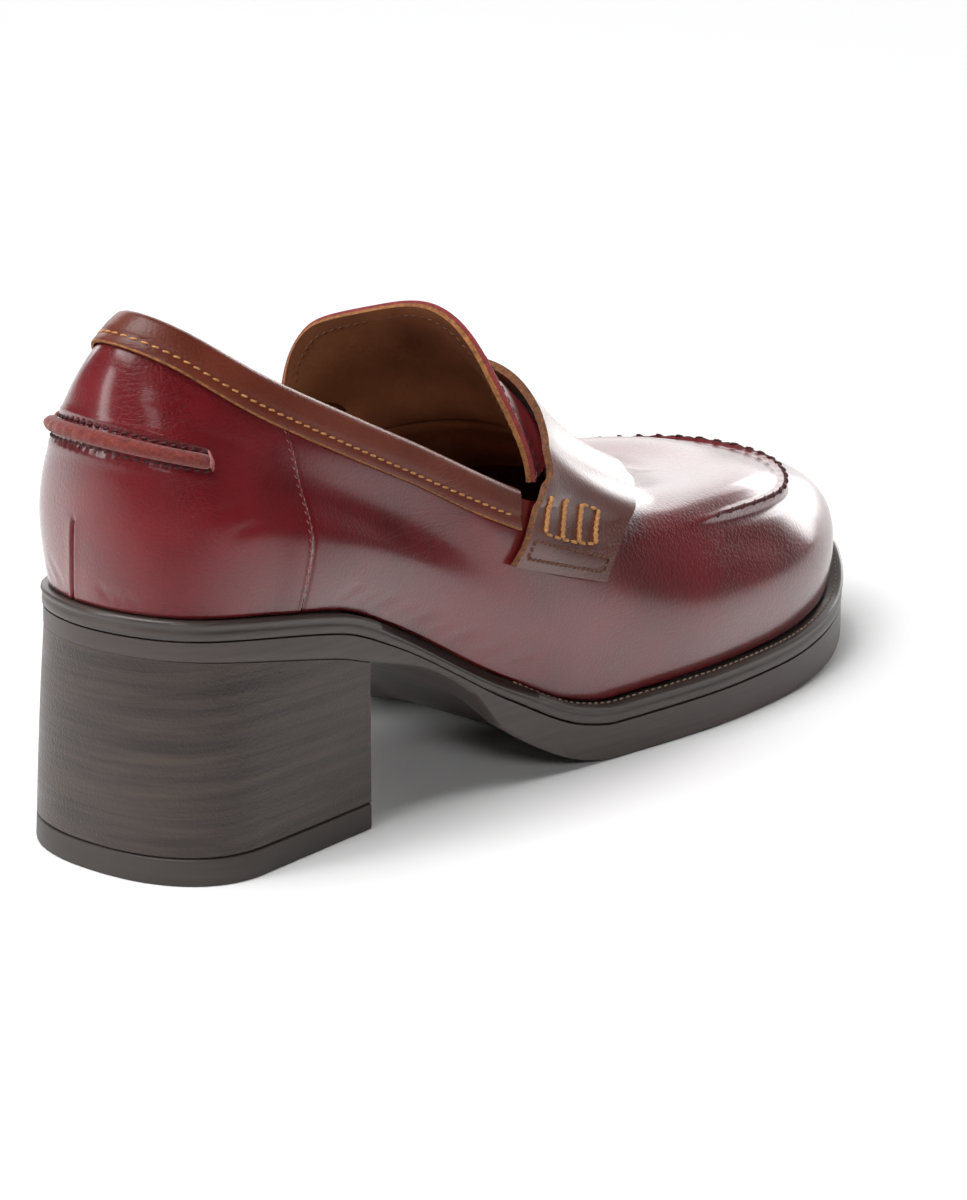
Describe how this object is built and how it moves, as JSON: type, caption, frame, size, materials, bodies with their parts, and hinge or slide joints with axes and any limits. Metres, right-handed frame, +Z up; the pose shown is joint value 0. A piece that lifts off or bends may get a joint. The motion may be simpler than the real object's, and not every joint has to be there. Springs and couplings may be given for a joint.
{
  "type": "block heel loafer",
  "caption": "Right slip-on loafer in glossy leather on a block heel, with a bound collar, raised tongue, slotted saddle strap across the instep and a moulded plug seam over the toe.",
  "frame": {"origin": "centre of the shoe's box on the floor under the sole", "axes": "+X to the toe, +Y to the inner side of the foot, +Z up"},
  "size_m": [0.241, 0.0862, 0.1215],
  "materials": {
    "lift_rubber": "matt dark grey-brown",
    "heel_stack": "satin dark grey-brown with fine level grain",
    "sole_rubber": "satin dark grey-brown",
    "midsole_rubber": "satin dark grey-brown",
    "insole_leather": "matt tan-brown",
    "upper_leather": "glossy burgundy",
    "tongue_leather": "glossy burgundy, tan inside",
    "strap_leather": "glossy brown burgundy",
    "binding_leather": "satin brown",
    "strip_suede": "napped red suede"
  },
  "bodies": {
    "root": {"top_lift": "lift_rubber", "heel_block": "heel_stack", "outsole": "sole_rubber", "midsole": "midsole_rubber", "insole": "insole_leather", "upper": "upper_leather", "tongue": "tongue_leather", "saddle_strap": "strap_leather", "collar_binding": "binding_leather", "heel_strip": "strip_suede"}
  },
  "joints": []
}
